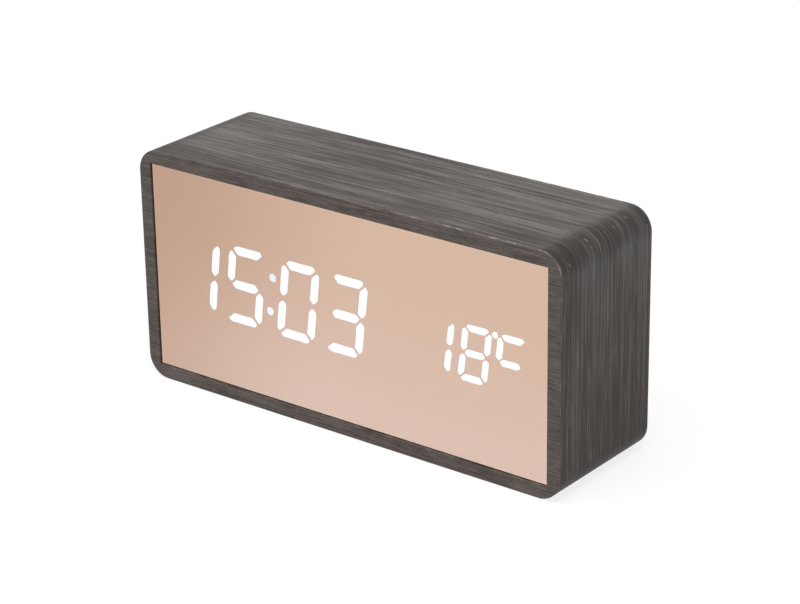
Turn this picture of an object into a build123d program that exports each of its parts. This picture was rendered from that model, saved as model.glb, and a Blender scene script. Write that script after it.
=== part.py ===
from build123d import *
import math
import os

# Case. Millimetres: X is the width, Y runs from the front to the rear, Z is up from the table.
CASE_WIDTH = 150.0
CASE_DEPTH = 44.0
CASE_HEIGHT = 72.5
CORNER_RADIUS = 7.0
VENEER = 0.6
EDGE_ROUND = 0.25
RIM_WIDTH = 4.2
SHOULDER_WIDTH = 3.0
PANEL_CLEARANCE = 0.2
BATTEN_SIZE = 8.0
BATTEN_CLEARANCE = 0.6

# Mirror front and rear cover, counted inwards from the two rims.
MIRROR_RECESS = 0.6
MIRROR_THICKNESS = 2.0
TAPE_THICKNESS = 0.3
COVER_RECESS = 1.5
COVER_THICKNESS = 3.0
COVER_BEVEL = 0.4

# Display: seven-segment digits cast into the wells of one reflector.
DISPLAY_GAP = 0.2
REFLECTOR_DEPTH = 7.0
REFLECTOR_CLEARANCE = 0.6
REFLECTOR_END_MARGIN = 5.0
SEGMENT_DEPTH = 5.0
SEGMENT_GAP_SHARE = 0.34
SEGMENT_ROUND = 0.2
OUTER_CUT_SHARE = 0.95
WELL_CLEARANCE = 0.05
SLANT_DEGREES = 7.2
LED_SIZE = 1.0
LED_HEIGHT = 0.6
BOARD_THICKNESS = 1.6
BOARD_CLEARANCE = 1.5

TIME_DIGIT_WIDTH = 13.9
TIME_DIGIT_HEIGHT = 24.2
TIME_STROKE = 2.7
TIME_DROP = 0.25
COLON_HALF_PITCH = 5.3
COLON_DIAMETER = 2.5
TIME_SEGMENTS_ON = ("bc", "afgcd", "abcdef", "abgcd")

TEMPERATURE_DIGIT_WIDTH = 9.95
TEMPERATURE_DIGIT_HEIGHT = 17.15
TEMPERATURE_STROKE = 2.05
UNIT_SPACING = 1.95
TEMPERATURE_DROP = 0.6
DEGREE_DIAMETER = 1.9
TEMPERATURE_SEGMENTS_ON = ("bc", "abcdefg", "afg")

# How the width left over by the digits is shared out, from the left wall to the right wall.
SPACE_SHARES = (5.5, 3.6, 6.0, 3.6, 20.65, 2.72, 6.13)

# Screws: shank, head and the play of the holes that they pass.
WOOD_SCREW_SHANK = 2.6
WOOD_SCREW_LENGTH = 11.0
WOOD_SCREW_HEAD = 5.0
WOOD_SCREW_HEAD_HEIGHT = 1.6
SMALL_SCREW_SHANK = 1.8
SMALL_SCREW_LENGTH = 5.5
SMALL_SCREW_HEAD = 3.6
SMALL_SCREW_HEAD_HEIGHT = 1.3
SCREW_SLOT_WIDTH = 0.6
SCREW_SLOT_SHARE = 0.6
SCREW_SLOT_DEPTH = 0.7
PILOT_PLAY = 0.05
HOLE_PLAY = 0.2
PILOT_SPARE = 1.0
COUNTERBORE_DEPTH = 1.3
REFLECTOR_SCREW_PITCH = 80.0

# Battery bay: three AAA cells side by side behind a hinged door.
CELL_DIAMETER = 10.5
CELL_LENGTH = 44.5
CELL_NUB_DIAMETER = 3.8
CELL_NUB_LENGTH = 1.0
CELL_ROUND = 0.5
CELL_GAP = 0.5
CELL_PLAY = 0.3
CONTACT_THICKNESS = 0.4
CONTACT_SIZE = 8.6
CONTACT_PLAY = 0.1
SPRING_LENGTH = 5.0
SPRING_WIRE = 0.6
SPRING_BASE_RADIUS = 3.7
SPRING_TIP_RADIUS = 2.2
SPRING_TURNS = 4
TRAY_WALL = 1.6
DOOR_THICKNESS = 2.0
DOOR_GAP = 0.3
DOOR_LEDGE = 1.2
LEDGE_PLAY = 0.1
BARREL_PLAY = 0.2
HINGE_PIN_RADIUS = 0.8
HINGE_PIN_LENGTH = 2.0
HINGE_PIN_PLAY = 0.05
NOTCH_RADIUS = 6.0
NOTCH_DEPTH = 1.2
CATCH_WIDTH = 10.0
CATCH_HEIGHT = 0.2
CATCH_THICKNESS = 0.8
RIB_WIDTH = 1.0
RIB_INSET = 4.0
GRIP_COUNT = 5
GRIP_PITCH = 1.8
GRIP_LENGTH = 16.0
GRIP_RADIUS = 0.45
GRIP_INSET = 3.5

# Control board behind the other half of the cover, with its keys in a column.
CONTROL_WIDTH = 36.0
CONTROL_HEIGHT = 42.0
BOSS_DIAMETER = 5.0
BOSS_INSET = 2.8
KEY_COLUMN = -9.5
KEY_PITCH = 13.0
KEY_DIAMETER = 8.0
KEY_CLEARANCE = 0.25
KEY_PROUD = 1.0
KEY_ROUND = 0.5
KEY_FLANGE_DIAMETER = 9.6
KEY_FLANGE_THICKNESS = 1.0
KEY_PLAY = 0.1
KEY_TRAVEL = 0.5
SYMBOL_SIZE = 2.6
SYMBOL_DEPTH = 0.3
SYMBOL_LINE = 0.6
SWITCH_SIZE = 6.0
SWITCH_BODY_HEIGHT = 3.5
SWITCH_HEIGHT = 5.0
PLUNGER_DIAMETER = 3.0
PLUNGER_SEAT = 1.2
PLUNGER_CLEARANCE = 0.1
PLUNGER_SPARE = 0.3

USB_PLACE = (7.0, -13.0)
USB_WIDTH = 7.6
USB_HEIGHT = 2.9
USB_WALL = 0.35
USB_CORNER = 0.8
USB_CLEARANCE = 0.3
USB_SINK = 0.4
USB_POCKET_WIDTH = 12.0
USB_POCKET_HEIGHT = 7.0
USB_POCKET_DEPTH = 1.2
USB_POCKET_ROUND = 2.0
USB_TONGUE_WIDTH = 4.0
USB_TONGUE_THICKNESS = 0.6
USB_TONGUE_SINK = 0.8
BUZZER_PLACE = (8.0, 10.0)
BUZZER_DIAMETER = 12.0
BUZZER_GAP = 0.6
BUZZER_PORT = 2.0
BUZZER_PORT_DEPTH = 1.5
SOUND_HOLE = 1.6
SOUND_HOLE_RING = 3.2
SOUND_HOLE_COUNT = 6
MICROPHONE_PLACE = (4.0, -2.0)
MICROPHONE_DIAMETER = 6.0
MICROPHONE_HEIGHT = 2.7
MICROPHONE_FACE_DEPTH = 0.3
MICROPHONE_RIM = 0.6
MICROPHONE_HOLE = 1.5
SENSOR_PLACE = (13.0, -2.0)
SENSOR_BEAD = 2.6
SENSOR_LEAD = 0.5
SENSOR_LEAD_PITCH = 1.2
SENSOR_STAND = 4.0
VENT_COUNT = 4
VENT_PITCH = 2.2
VENT_WIDTH = 1.1
VENT_LENGTH = 7.0

COIN_PLACE = (-6.0, 0.0)
COIN_DIAMETER = 20.0
COIN_THICKNESS = 3.2
COIN_PLAY = 0.2
COIN_HOLDER_WALL = 1.4
COIN_HOLDER_FLOOR = 0.8
COIN_CLIP_WIDTH = 5.0
COIN_CLIP_THICKNESS = 0.3
CLOCK_CHIP_PLACE = (-2.0, -16.0)
CLOCK_CHIP_SIZE = (9.9, 3.9, 1.5)
CLOCK_CHIP_LEAD_COUNT = 8
DRIVER_CHIP_PLACE = (25.0, 0.0)
DRIVER_CHIP_SIZE = (17.9, 7.5, 2.3)
DRIVER_CHIP_LEAD_COUNT = 14
CHIP_LEAD_PITCH = 1.27
CHIP_LEAD_WIDTH = 0.45
CHIP_LEAD_REACH = 1.1
CHIP_LEAD_HEIGHT = 0.6
CHIP_STANDOFF = 0.1
CRYSTAL_PLACE = (8.5, -16.0)
CRYSTAL_DIAMETER = 2.0
CRYSTAL_LENGTH = 6.0
CAPACITOR_PLACE = (2.0, 16.0)
CAPACITOR_DIAMETER = 6.3
CAPACITOR_HEIGHT = 6.0
CAPACITOR_ROUND = 0.5
RESISTOR_COUNT = 8
RESISTOR_PITCH = 2.2
RESISTOR_SIZE = (1.25, 2.0, 0.6)
RESISTOR_DROP = 10.0

HEADER_LENGTH = 14.0
HEADER_WIDTH = 5.0
HEADER_HEIGHT = 4.5
RIBBON_COLUMN = 13.5
RIBBON_SHIFT = 16.0
RIBBON_WIDTH = 10.2
RIBBON_THICKNESS = 0.9
RIBBON_BEND_SHARE = 0.8
LEAD_DIAMETER = 1.3
LEAD_PLAY = 0.1
LEAD_BEND = 2.5
LEAD_REACH = 4.0
LEAD_PAD_INSET = 10.0

# Planes across the depth, from the front rim to the rear rim.
FRONT_Y = -CASE_DEPTH / 2
REAR_Y = CASE_DEPTH / 2
MIRROR_FRONT_Y = FRONT_Y + MIRROR_RECESS
MIRROR_BACK_Y = MIRROR_FRONT_Y + MIRROR_THICKNESS
FRONT_SHOULDER_Y = MIRROR_BACK_Y + TAPE_THICKNESS
REFLECTOR_FRONT_Y = MIRROR_BACK_Y + DISPLAY_GAP
DISPLAY_FRONT_Y = REFLECTOR_FRONT_Y + REFLECTOR_DEPTH
DISPLAY_BACK_Y = DISPLAY_FRONT_Y + BOARD_THICKNESS
COVER_OUTER_Y = REAR_Y - COVER_RECESS
COVER_INNER_Y = COVER_OUTER_Y - COVER_THICKNESS
BOSS_HEIGHT = KEY_PLAY + KEY_FLANGE_THICKNESS + SWITCH_HEIGHT
CONTROL_BACK_Y = COVER_INNER_Y - BOSS_HEIGHT
CONTROL_FRONT_Y = CONTROL_BACK_Y - BOARD_THICKNESS

# Widths and heights inside the case.
CENTRE_Z = CASE_HEIGHT / 2
WINDOW_WIDTH = CASE_WIDTH - 2 * RIM_WIDTH
WINDOW_HEIGHT = CASE_HEIGHT - 2 * RIM_WIDTH
BORE_WIDTH = WINDOW_WIDTH - 2 * SHOULDER_WIDTH
BORE_HEIGHT = WINDOW_HEIGHT - 2 * SHOULDER_WIDTH
CORNER_X = (BORE_WIDTH - BATTEN_SIZE) / 2
CORNER_Z = (BORE_HEIGHT - BATTEN_SIZE) / 2
CORNERS = [(x * CORNER_X, CENTRE_Z + z * CORNER_Z) for x in (-1, 1) for z in (-1, 1)]

# Digits of the display, from left to right.
TIME_Z = CENTRE_Z - TIME_DROP
FREE_WIDTH = BORE_WIDTH - 4 * TIME_DIGIT_WIDTH - 3 * TEMPERATURE_DIGIT_WIDTH - UNIT_SPACING
SPACES = [FREE_WIDTH * share / sum(SPACE_SHARES) for share in SPACE_SHARES]
TIME_LEFT = -BORE_WIDTH / 2 + TIME_DIGIT_WIDTH / 2
TIME_XS = [TIME_LEFT + TIME_DIGIT_WIDTH * i + sum(SPACES[:i + 1]) for i in range(4)]
COLON_X = (TIME_XS[1] + TIME_XS[2]) / 2
TEMPERATURE_Z = CENTRE_Z - TEMPERATURE_DROP
UNIT_X = BORE_WIDTH / 2 - SPACES[-1] - TEMPERATURE_DIGIT_WIDTH / 2
UNITS_X = UNIT_X - TEMPERATURE_DIGIT_WIDTH - UNIT_SPACING
TENS_X = UNITS_X - TEMPERATURE_DIGIT_WIDTH - SPACES[-2]
TEMPERATURE_XS = [TENS_X, UNITS_X, UNIT_X]
DEGREE_X = (UNITS_X + UNIT_X) / 2
DEGREE_Z = TEMPERATURE_Z + (TEMPERATURE_DIGIT_HEIGHT - TEMPERATURE_STROKE) / 2
REFLECTOR_WIDTH = BORE_WIDTH - 2 * REFLECTOR_CLEARANCE
REFLECTOR_HALF_HEIGHT = TIME_DIGIT_HEIGHT / 2 + REFLECTOR_END_MARGIN
REFLECTOR_SCREW_RISE = REFLECTOR_HALF_HEIGHT - REFLECTOR_END_MARGIN / 2
REFLECTOR_SCREWS = [
    (x * REFLECTOR_SCREW_PITCH / 2, TIME_Z + z * REFLECTOR_SCREW_RISE) for x in (-1, 1) for z in (-1, 1)
]

# Battery bay and its door, beside the right-hand battens.
HINGE_Y = COVER_INNER_Y + COVER_THICKNESS / 2
HINGE_SWING = COVER_THICKNESS / 2 + DOOR_GAP
BARREL_RADIUS = COVER_THICKNESS / 2 - BARREL_PLAY
HINGE_ROOM = HINGE_SWING + BARREL_RADIUS + DOOR_GAP
CELL_PITCH = CELL_DIAMETER + CELL_GAP
CELLS_Z = CENTRE_Z + HINGE_ROOM / 2
CELL_ROWS = [CELLS_Z + CELL_PITCH, CELLS_Z, CELLS_Z - CELL_PITCH]
CELL_WAYS = [-1, 1, -1]
CELL_Y = COVER_INNER_Y - CELL_PLAY - CELL_DIAMETER / 2
TRAY_FLOOR_Y = CELL_Y - CELL_DIAMETER / 2 - CELL_PLAY
BAY_LENGTH = 2 * CONTACT_THICKNESS + CONTACT_PLAY + CELL_LENGTH + SPRING_LENGTH
BAY_RIGHT = BORE_WIDTH / 2 - BATTEN_SIZE - BATTEN_CLEARANCE - TRAY_WALL
BAY_X = (BAY_RIGHT - BAY_LENGTH, BAY_RIGHT)
SHELF_Z = CELLS_Z - 1.5 * CELL_PITCH
BAY_Z = (SHELF_Z - HINGE_ROOM, CELLS_Z + 1.5 * CELL_PITCH)
HINGE_Z = BAY_Z[0] + HINGE_SWING
DOOR_X = (BAY_X[0] - DOOR_LEDGE, BAY_X[1] + DOOR_LEDGE)
DOOR_TOP = BAY_Z[1] + DOOR_LEDGE
DOOR_INNER_Y = COVER_OUTER_Y - DOOR_THICKNESS
DOOR_MIDDLE = sum(DOOR_X) / 2

# Control board, beside the left-hand battens.
CONTROL_X = -BORE_WIDTH / 2 + BATTEN_SIZE + BATTEN_CLEARANCE + CONTROL_WIDTH / 2
KEY_X = CONTROL_X + KEY_COLUMN
KEY_ROWS = [CENTRE_Z + KEY_PITCH, CENTRE_Z, CENTRE_Z - KEY_PITCH]
BOSS_X = CONTROL_WIDTH / 2 - BOSS_INSET
BOSS_Z = CONTROL_HEIGHT / 2 - BOSS_INSET
BOSSES = [(CONTROL_X + x * BOSS_X, CENTRE_Z + z * BOSS_Z) for x in (-1, 1) for z in (-1, 1)]
RIBBON_REAR_X = CONTROL_X + RIBBON_COLUMN
RIBBON_FRONT_X = RIBBON_REAR_X + RIBBON_SHIFT
LEAD_PAD_X = CONTROL_X + CONTROL_WIDTH / 2 - LEAD_PAD_INSET
LEAD_OFFSET = LEAD_DIAMETER / 2 + LEAD_PLAY
LEAD_PLUS = (BAY_X[0] + LEAD_OFFSET, CELL_ROWS[0])
LEAD_MINUS = (BAY_X[1] - LEAD_OFFSET, CELL_ROWS[2])
USB_MOUTH_Y = COVER_OUTER_Y - USB_POCKET_DEPTH - USB_SINK


def around(middle, size):
    """The two ends of a length about its middle."""
    return (middle - size / 2, middle + size / 2)


def span(x, y, z):
    """A box between the two ends given on each axis."""
    size = [end - start for start, end in (x, y, z)]
    middle = [(start + end) / 2 for start, end in (x, y, z)]
    return Pos(*middle) * Box(*size)


def rod_y(diameter, y, x_at, z_at):
    """A cylinder along Y between its two ends."""
    return Pos(x_at, sum(y) / 2, z_at) * Rot(90, 0, 0) * Cylinder(diameter / 2, y[1] - y[0])


def rod_x(diameter, x, y_at, z_at):
    """A cylinder along X between its two ends."""
    return Pos(sum(x) / 2, y_at, z_at) * Rot(0, 90, 0) * Cylinder(diameter / 2, x[1] - x[0])


def slab(sketch, y):
    """A sketch drawn in X and Z, made solid between two planes of Y."""
    return extrude(Plane.XZ.offset(-y[0]) * sketch, amount=y[1] - y[0], dir=(0, 1, 0))


def group(shapes):
    """Separate solids that share one node."""
    return Compound([solid for shape in shapes for solid in shape.solids()])


def on_control_board(place):
    """A place on the control board, from its middle, in the frame of the clock."""
    return CONTROL_X + place[0], CENTRE_Z + place[1]


def case_outline(inset):
    """The case's rounded outline, drawn in by a thickness."""
    size = (CASE_WIDTH - 2 * inset, CASE_HEIGHT - 2 * inset)
    return Pos(0, CENTRE_Z) * RectangleRounded(*size, CORNER_RADIUS - inset)


def opening(width, height, y):
    """A square-cornered opening through the middle of the case."""
    return span(around(0, width), y, around(CENTRE_Z, height))


def case_core():
    """The fibreboard sleeve, with a shoulder behind each rim for the mirror and the cover."""
    core = slab(case_outline(VENEER), (FRONT_Y + VENEER, REAR_Y - VENEER))
    core -= opening(BORE_WIDTH, BORE_HEIGHT, (FRONT_Y, REAR_Y))
    core -= opening(WINDOW_WIDTH, WINDOW_HEIGHT, (FRONT_Y, FRONT_SHOULDER_Y))
    return core - opening(WINDOW_WIDTH, WINDOW_HEIGHT, (COVER_INNER_Y, REAR_Y))


def veneer_wrap():
    """The veneer that goes round the outside of the sleeve."""
    band = case_outline(0) - case_outline(VENEER)
    return slab(band, (FRONT_Y + VENEER, REAR_Y - VENEER))


def edge_veneer(y, outer_face):
    """The veneer frame on one rim, with the edges of its outer face eased."""
    frame = slab(case_outline(0), y) - opening(WINDOW_WIDTH, WINDOW_HEIGHT, y)
    return fillet(frame.edges().group_by(Axis.Y)[outer_face], EDGE_ROUND)


def corner_battens():
    """Four glued strips that take the screws of the display board and of the rear cover."""
    front_pilot = WOOD_SCREW_LENGTH - BOARD_THICKNESS + PILOT_SPARE
    rear_pilot = WOOD_SCREW_LENGTH - (COVER_THICKNESS - COUNTERBORE_DEPTH) + PILOT_SPARE
    pilot = WOOD_SCREW_SHANK + 2 * PILOT_PLAY
    battens = []
    for x, z in CORNERS:
        ends = (DISPLAY_BACK_Y, COVER_INNER_Y)
        batten = span(around(x, BATTEN_SIZE), ends, around(z, BATTEN_SIZE))
        batten -= rod_y(pilot, (ends[0], ends[0] + front_pilot), x, z)
        battens.append(batten - rod_y(pilot, (ends[1] - rear_pilot, ends[1]), x, z))
    return group(battens)


def screw(place, seat_y, way, shank, length, head, head_height):
    """A pan-head screw along Y: the head sits on seat_y and the point goes the way given, 1 or -1."""
    body = Pos(0, 0, -length / 2) * Cylinder(shank / 2, length)
    body = chamfer(body.edges().group_by(Axis.Z)[0], shank / 4)
    cap = Pos(0, 0, head_height / 2) * Cylinder(head / 2, head_height)
    cap = fillet(cap.edges().group_by(Axis.Z)[-1], head_height / 2)
    slot = (head * SCREW_SLOT_SHARE, SCREW_SLOT_WIDTH, SCREW_SLOT_DEPTH)
    cross = Pos(0, 0, head_height - SCREW_SLOT_DEPTH / 2) * (Box(*slot) + Rot(0, 0, 90) * Box(*slot))
    plane = Plane(origin=(place[0], seat_y, place[1]), x_dir=(1, 0, 0), z_dir=(0, -way, 0))
    return plane * (body + cap - cross)


def wood_screws(seat_y, way):
    """The four long screws at the corners of the case."""
    size = (WOOD_SCREW_SHANK, WOOD_SCREW_LENGTH, WOOD_SCREW_HEAD, WOOD_SCREW_HEAD_HEIGHT)
    return group([screw(place, seat_y, way, *size) for place in CORNERS])


def small_screws(places, seat_y, way):
    """A set of short screws for a board."""
    size = (SMALL_SCREW_SHANK, SMALL_SCREW_LENGTH, SMALL_SCREW_HEAD, SMALL_SCREW_HEAD_HEIGHT)
    return group([screw(place, seat_y, way, *size) for place in places])


def mirror_size():
    """The ends in X and Z of the mirror in its window."""
    width = WINDOW_WIDTH - 2 * PANEL_CLEARANCE
    height = WINDOW_HEIGHT - 2 * PANEL_CLEARANCE
    return around(0, width), around(CENTRE_Z, height)


def mirror_panel():
    x, z = mirror_size()
    return span(x, (MIRROR_FRONT_Y, MIRROR_BACK_Y), z)


def mirror_tape():
    """The adhesive frame between the mirror and the shoulder of the case."""
    x, z = mirror_size()
    y = (MIRROR_BACK_Y, FRONT_SHOULDER_Y)
    return span(x, y, z) - opening(BORE_WIDTH, BORE_HEIGHT, y)


def slanted(x, z, x_middle, z_middle):
    """A point of an upright digit, leaned over and set in its place."""
    return x_middle + x + z * math.tan(math.radians(SLANT_DEGREES)), z_middle + z


def segment_corners(width, height, stroke):
    """The corners of the seven segments of an upright digit about its middle."""
    w, h, t = width / 2, height / 2, stroke
    cut = OUTER_CUT_SHARE * stroke
    gap = SEGMENT_GAP_SHARE * stroke / math.sqrt(2)
    far, near = (cut + gap) / 2, (cut - gap) / 2
    a = [(-w + t + gap, h - t), (-w + far, h - near), (-w + cut, h)]
    a += [(-x, z) for x, z in reversed(a)]
    b = [(w - t, h - t - gap), (w - near, h - far), (w, h - cut)]
    b += [(w, t / 2 + gap), (w - t / 2, gap), (w - t, t / 2 + gap)]
    g = [(-w + t / 2 + gap, 0), (-w + t + gap, t / 2), (w - t - gap, t / 2)]
    g += [(-x, -z) for x, z in g]
    return {
        "a": a,
        "b": b,
        "c": [(x, -z) for x, z in b],
        "d": [(x, -z) for x, z in a],
        "e": [(-x, -z) for x, z in b],
        "f": [(-x, z) for x, z in b],
        "g": g,
    }


def segment_sketch(corners, x_middle, z_middle):
    """One segment's outline, with its tips a little rounded."""
    outline = Polygon(*[slanted(x, z, x_middle, z_middle) for x, z in corners], align=None)
    return fillet(outline.vertices(), SEGMENT_ROUND)


def digit_rows():
    """Each digit's group, middle, size and lit segments."""
    time_size = (TIME_DIGIT_WIDTH, TIME_DIGIT_HEIGHT, TIME_STROKE)
    temperature_size = (TEMPERATURE_DIGIT_WIDTH, TEMPERATURE_DIGIT_HEIGHT, TEMPERATURE_STROKE)
    for x, lit in zip(TIME_XS, TIME_SEGMENTS_ON):
        yield "time", x, TIME_Z, time_size, lit
    for x, lit in zip(TEMPERATURE_XS, TEMPERATURE_SEGMENTS_ON):
        yield "temperature", x, TEMPERATURE_Z, temperature_size, lit


def display_sketches():
    """Every lit and unlit outline of the display, by node."""
    sketches = {}
    for name, x, z, size, lit in digit_rows():
        for letter, corners in segment_corners(*size).items():
            state = "lit" if letter in lit else "unlit"
            sketches.setdefault(f"{name}_segments_{state}", []).append(segment_sketch(corners, x, z))
    dots = [slanted(0, way * COLON_HALF_PITCH, COLON_X, TIME_Z) for way in (1, -1)]
    sketches["colon_dots"] = [Pos(*dot) * Circle(COLON_DIAMETER / 2) for dot in dots]
    degree = slanted(0, DEGREE_Z - TEMPERATURE_Z, DEGREE_X, TEMPERATURE_Z)
    sketches["degree_dot"] = [Pos(*degree) * Circle(DEGREE_DIAMETER / 2)]
    return sketches


def segment_fills(sketches):
    """The clear resin in the front of the wells."""
    y = (REFLECTOR_FRONT_Y, REFLECTOR_FRONT_Y + SEGMENT_DEPTH)
    return group([slab(sketch, y) for sketch in sketches])


def display_reflector(sketches):
    """The block whose wells shape the light of each segment."""
    y = (REFLECTOR_FRONT_Y, DISPLAY_FRONT_Y)
    block = span(around(0, REFLECTOR_WIDTH), y, around(TIME_Z, 2 * REFLECTOR_HALF_HEIGHT))
    wells = [slab(offset(sketch, WELL_CLEARANCE), y) for sketch in sketches]
    depth = SMALL_SCREW_LENGTH - BOARD_THICKNESS + PILOT_SPARE
    pilot = SMALL_SCREW_SHANK + 2 * PILOT_PLAY
    pilots = [rod_y(pilot, (y[1] - depth, y[1]), *place) for place in REFLECTOR_SCREWS]
    head_room = (y[1] - WOOD_SCREW_HEAD_HEIGHT - HOLE_PLAY, y[1])
    heads = [rod_y(WOOD_SCREW_HEAD + 2 * HOLE_PLAY, head_room, *place) for place in CORNERS]
    return block - wells - pilots - heads


def segment_leds(sketches):
    """One light-emitting chip on the board under the middle of each well."""
    y = (DISPLAY_FRONT_Y - LED_HEIGHT, DISPLAY_FRONT_Y)
    middles = [sketch.center() for sketch in sketches]
    return group([span(around(m.X, LED_SIZE), y, around(m.Y, LED_SIZE)) for m in middles])


def display_board():
    """The board behind the reflector, screwed to the front ends of the battens."""
    size = (BORE_WIDTH - 2 * BOARD_CLEARANCE, BORE_HEIGHT - 2 * BOARD_CLEARANCE)
    y = (DISPLAY_FRONT_Y, DISPLAY_BACK_Y)
    board = span(around(0, size[0]), y, around(CENTRE_Z, size[1]))
    corner_holes = [rod_y(WOOD_SCREW_SHANK + 2 * HOLE_PLAY, y, *place) for place in CORNERS]
    small_holes = [rod_y(SMALL_SCREW_SHANK + 2 * HOLE_PLAY, y, *place) for place in REFLECTOR_SCREWS]
    return board - corner_holes - small_holes


def chip(place, size, board_y, way, leads):
    """A chip on a board: a body with two rows of leads that stand on the board's face."""
    x, z = place
    base = board_y + way * CHIP_STANDOFF
    top = base + way * size[2]
    lead_top = board_y + way * CHIP_LEAD_HEIGHT
    body = span(around(x, size[0]), sorted((base, top)), around(z, size[1]))
    pins = []
    for i in range(leads):
        pin_x = around(x + (i - (leads - 1) / 2) * CHIP_LEAD_PITCH, CHIP_LEAD_WIDTH)
        length = around(z, size[1] + 2 * CHIP_LEAD_REACH)
        pins.append(span(pin_x, sorted((board_y, lead_top)), length))
    under = span(around(x, size[0]), sorted((board_y, base)), around(z, size[1]))
    return body + [pin - under for pin in pins]


def display_resistors():
    """A row of chip resistors on the rear of the display board."""
    x0, z0 = DRIVER_CHIP_PLACE
    z = around(CENTRE_Z + z0 - RESISTOR_DROP, RESISTOR_SIZE[1])
    y = (DISPLAY_BACK_Y, DISPLAY_BACK_Y + RESISTOR_SIZE[2])
    row = [x0 + (i - (RESISTOR_COUNT - 1) / 2) * RESISTOR_PITCH for i in range(RESISTOR_COUNT)]
    return group([span(around(x, RESISTOR_SIZE[0]), y, z) for x in row])


def usb_sketch(grow):
    """The socket's outline, with its two lower corners cut, grown by a clearance."""
    x, z = on_control_board(USB_PLACE)
    w, h = USB_WIDTH / 2, USB_HEIGHT / 2
    corners = [(-w, h), (w, h), (w, -h + USB_CORNER), (w - USB_CORNER, -h)]
    corners += [(-w + USB_CORNER, -h), (-w, -h + USB_CORNER)]
    outline = Polygon(*[(x + u, z + v) for u, v in corners], align=None)
    return offset(outline, grow, kind=Kind.INTERSECTION) if grow else outline


def cover_openings():
    """What is cut through the cover for the keys, the socket, the sound and the air."""
    through = (COVER_INNER_Y, COVER_OUTER_Y)
    cuts = [rod_y(KEY_DIAMETER + 2 * KEY_CLEARANCE, through, KEY_X, z) for z in KEY_ROWS]
    x, z = on_control_board(USB_PLACE)
    pocket = Pos(x, z) * RectangleRounded(USB_POCKET_WIDTH, USB_POCKET_HEIGHT, USB_POCKET_ROUND)
    cuts.append(slab(pocket, (COVER_OUTER_Y - USB_POCKET_DEPTH, COVER_OUTER_Y)))
    cuts.append(slab(usb_sketch(USB_CLEARANCE), through))
    x, z = on_control_board(BUZZER_PLACE)
    cuts.append(rod_y(SOUND_HOLE, through, x, z))
    for i in range(SOUND_HOLE_COUNT):
        turn = 2 * math.pi * i / SOUND_HOLE_COUNT
        place = (x + SOUND_HOLE_RING * math.cos(turn), z + SOUND_HOLE_RING * math.sin(turn))
        cuts.append(rod_y(SOUND_HOLE, through, *place))
    cuts.append(rod_y(MICROPHONE_HOLE, through, *on_control_board(MICROPHONE_PLACE)))
    x, z = on_control_board(SENSOR_PLACE)
    for i in range(VENT_COUNT):
        rise = (i - (VENT_COUNT - 1) / 2) * VENT_PITCH
        cuts.append(slab(Pos(x, z + rise) * SlotOverall(VENT_LENGTH, VENT_WIDTH), through))
    return cuts


def door_cuts():
    """The stepped door opening, the hinge slot with its two pin sockets, and the finger notch."""
    x = (DOOR_X[0] - DOOR_GAP, DOOR_X[1] + DOOR_GAP)
    top = DOOR_TOP + DOOR_GAP
    seat = span(x, (DOOR_INNER_Y - LEDGE_PLAY, COVER_OUTER_Y), (BAY_Z[0], top))
    slot = span(x, (COVER_INNER_Y, COVER_OUTER_Y), (BAY_Z[0], SHELF_Z))
    reach = HINGE_PIN_LENGTH + DOOR_GAP
    sockets = rod_x(2 * (HINGE_PIN_RADIUS + HINGE_PIN_PLAY), (x[0] - reach, x[1] + reach), HINGE_Y, HINGE_Z)
    notch = rod_y(2 * NOTCH_RADIUS, (COVER_OUTER_Y - NOTCH_DEPTH, COVER_OUTER_Y), DOOR_MIDDLE, top)
    return [seat, slot, sockets, notch]


def rear_cover():
    """The moulded back, with the battery tray and the bosses of the control board on its inside."""
    width = WINDOW_WIDTH - 2 * PANEL_CLEARANCE
    height = WINDOW_HEIGHT - 2 * PANEL_CLEARANCE
    plate = opening(width, height, (COVER_INNER_Y, COVER_OUTER_Y))
    plate = chamfer(plate.faces().sort_by(Axis.Y)[-1].edges(), COVER_BEVEL)
    tray_x = (BAY_X[0] - TRAY_WALL, BAY_X[1] + TRAY_WALL)
    tray_z = (BAY_Z[0] - TRAY_WALL, BAY_Z[1] + TRAY_WALL)
    tray = span(tray_x, (TRAY_FLOOR_Y - TRAY_WALL, COVER_INNER_Y), tray_z)
    bosses = [rod_y(BOSS_DIAMETER, (CONTROL_BACK_Y, COVER_INNER_Y), *place) for place in BOSSES]
    cover = plate + tray + bosses
    cover -= span(BAY_X, (TRAY_FLOOR_Y, COVER_OUTER_Y), BAY_Z)
    cover += span(BAY_X, (TRAY_FLOOR_Y, CELL_Y), (BAY_Z[0], SHELF_Z))
    pilot = SMALL_SCREW_SHANK + 2 * PILOT_PLAY
    depth = SMALL_SCREW_LENGTH - BOARD_THICKNESS + PILOT_SPARE
    cuts = [rod_y(pilot, (CONTROL_BACK_Y, CONTROL_BACK_Y + depth), *place) for place in BOSSES]
    for place in CORNERS:
        bore = WOOD_SCREW_HEAD + 2 * HOLE_PLAY
        cuts.append(rod_y(WOOD_SCREW_SHANK + 2 * HOLE_PLAY, (COVER_INNER_Y, COVER_OUTER_Y), *place))
        cuts.append(rod_y(bore, (COVER_OUTER_Y - COUNTERBORE_DEPTH, COVER_OUTER_Y), *place))
    hole = LEAD_DIAMETER + 2 * LEAD_PLAY
    for place in (LEAD_PLUS, LEAD_MINUS):
        cuts.append(rod_y(hole, (TRAY_FLOOR_Y - TRAY_WALL, TRAY_FLOOR_Y), *place))
    return cover - cuts - cover_openings() - door_cuts()


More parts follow.
